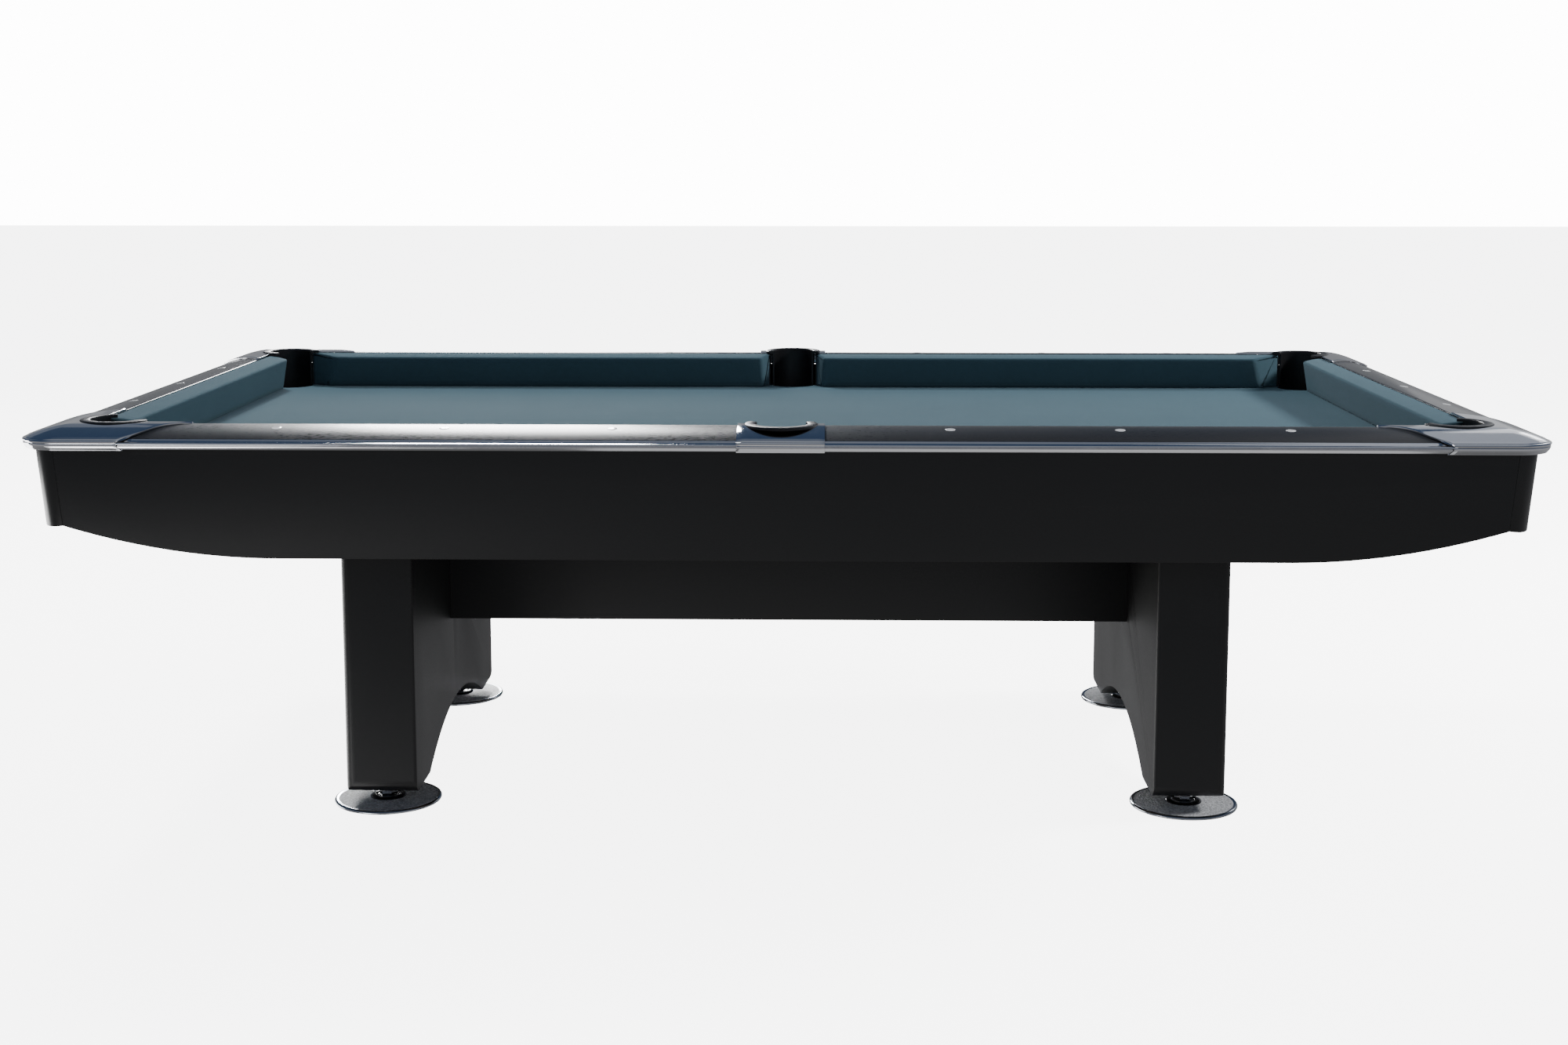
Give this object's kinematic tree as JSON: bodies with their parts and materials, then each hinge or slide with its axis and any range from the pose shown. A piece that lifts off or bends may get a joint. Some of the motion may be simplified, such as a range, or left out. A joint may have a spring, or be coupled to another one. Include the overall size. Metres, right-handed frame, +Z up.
{
  "type": "pool table",
  "caption": "Slate-bed pool table with blue-grey cloth, black cabinet on two pedestals, metal rail trim, drop pockets and screw feet that level it.",
  "frame": {"origin": "on the floor under the middle of the table, the bottom centre of its bounding box", "axes": "+X along the table's length, +Y across it to the rear rail, +Z up"},
  "size_m": [2.87, 1.6, 0.8315],
  "materials": {
    "cabinet_laminate": "satin black laminate",
    "corner_profile": "satin black",
    "frame_timber": "planed softwood",
    "slate": "honed",
    "bed_cloth": "woven worsted cloth",
    "cushion_cloth": "woven worsted cloth over rubber",
    "sight": "gloss",
    "bolt_steel": "zinc plated",
    "rail_laminate": "semi-gloss black laminate",
    "trim_metal": "brushed and polished",
    "polished_casting": "polished",
    "pocket_plastic": "satin moulded",
    "pedestal_laminate": "satin black laminate",
    "foot_metal": "hammered paint with polished rim",
    "bushing_steel": "blackened",
    "spindle_chrome": "polished"
  },
  "bodies": {
    "table": {"side_apron_front": "cabinet_laminate", "side_apron_rear": "cabinet_laminate", "end_apron_left": "cabinet_laminate", "end_apron_right": "cabinet_laminate", "corner_post_front_left": "corner_profile", "corner_post_front_right": "corner_profile", "corner_post_rear_left": "corner_profile", "corner_post_rear_right": "corner_profile", "frame_beam_front": "frame_timber", "frame_beam_rear": "frame_timber", "frame_cross_beams": "frame_timber", "slate_left": "slate", "slate_middle": "slate", "slate_right": "slate", "bed_cloth": "bed_cloth", "cushion_front_left": "cushion_cloth", "cushion_front_right": "cushion_cloth", "cushion_rear_left": "cushion_cloth", "cushion_rear_right": "cushion_cloth", "cushion_left_end": "cushion_cloth", "cushion_right_end": "cushion_cloth", "rail_front_left": "rail_laminate", "rail_front_right": "rail_laminate", "rail_rear_left": "rail_laminate", "rail_rear_right": "rail_laminate", "rail_left_end": "rail_laminate", "rail_right_end": "rail_laminate", "trim_front_left": "trim_metal", "trim_front_right": "trim_metal", "trim_rear_left": "trim_metal", "trim_rear_right": "trim_metal", "trim_left_end": "trim_metal", "trim_right_end": "trim_metal", "corner_casting_front_left": "polished_casting", "corner_casting_front_right": "polished_casting", "corner_casting_rear_left": "polished_casting", "corner_casting_rear_right": "polished_casting", "side_casting_front": "polished_casting", "side_casting_rear": "polished_casting", "pocket_front_left": "pocket_plastic", "pocket_front_right": "pocket_plastic", "pocket_rear_left": "pocket_plastic", "pocket_rear_right": "pocket_plastic", "pocket_front_side": "pocket_plastic", "pocket_rear_side": "pocket_plastic", "pedestal_left": "pedestal_laminate", "pedestal_right": "pedestal_laminate", "stretcher": "pedestal_laminate", "foot_bushings": "bushing_steel", "rail_sights": "sight", "rail_bolts": "bolt_steel", "frame_bolts": "bolt_steel"},
    "foot_front_left": {"foot_front_left": "foot_metal"},
    "spindle_front_left": {"spindle_front_left": "spindle_chrome"},
    "foot_front_right": {"foot_front_right": "foot_metal"},
    "spindle_front_right": {"spindle_front_right": "spindle_chrome"},
    "foot_rear_left": {"foot_rear_left": "foot_metal"},
    "spindle_rear_left": {"spindle_rear_left": "spindle_chrome"},
    "foot_rear_right": {"foot_rear_right": "foot_metal"},
    "spindle_rear_right": {"spindle_rear_right": "spindle_chrome"}
  },
  "joints": [
    {"name": "foot_front_left_height", "type": "slide", "parent": "table", "child": "foot_front_left", "axis": [0, 0, -1], "range_m": [-0.01, 0.015]},
    {"name": "spindle_front_left_turn", "type": "hinge", "parent": "foot_front_left", "child": "spindle_front_left", "pos_m": [-0.825, -0.414, 0.02], "axis": [0, 0, 1], "range_deg": [-1440, 2160]},
    {"name": "foot_front_right_height", "type": "slide", "parent": "table", "child": "foot_front_right", "axis": [0, 0, -1], "range_m": [-0.01, 0.015]},
    {"name": "spindle_front_right_turn", "type": "hinge", "parent": "foot_front_right", "child": "spindle_front_right", "pos_m": [0.825, -0.414, 0.02], "axis": [0, 0, 1], "range_deg": [-1440, 2160]},
    {"name": "foot_rear_left_height", "type": "slide", "parent": "table", "child": "foot_rear_left", "axis": [0, 0, -1], "range_m": [-0.01, 0.015]},
    {"name": "spindle_rear_left_turn", "type": "hinge", "parent": "foot_rear_left", "child": "spindle_rear_left", "pos_m": [-0.825, 0.414, 0.02], "axis": [0, 0, 1], "range_deg": [-1440, 2160]},
    {"name": "foot_rear_right_height", "type": "slide", "parent": "table", "child": "foot_rear_right", "axis": [0, 0, -1], "range_m": [-0.01, 0.015]},
    {"name": "spindle_rear_right_turn", "type": "hinge", "parent": "foot_rear_right", "child": "spindle_rear_right", "pos_m": [0.825, 0.414, 0.02], "axis": [0, 0, 1], "range_deg": [-1440, 2160]}
  ],
  "couplings": [
    {"joint": "spindle_front_left_turn", "follows": "foot_front_left_height", "rad_per_m": 2513.3},
    {"joint": "spindle_front_right_turn", "follows": "foot_front_right_height", "rad_per_m": 2513.3},
    {"joint": "spindle_rear_left_turn", "follows": "foot_rear_left_height", "rad_per_m": 2513.3},
    {"joint": "spindle_rear_right_turn", "follows": "foot_rear_right_height", "rad_per_m": 2513.3}
  ]
}
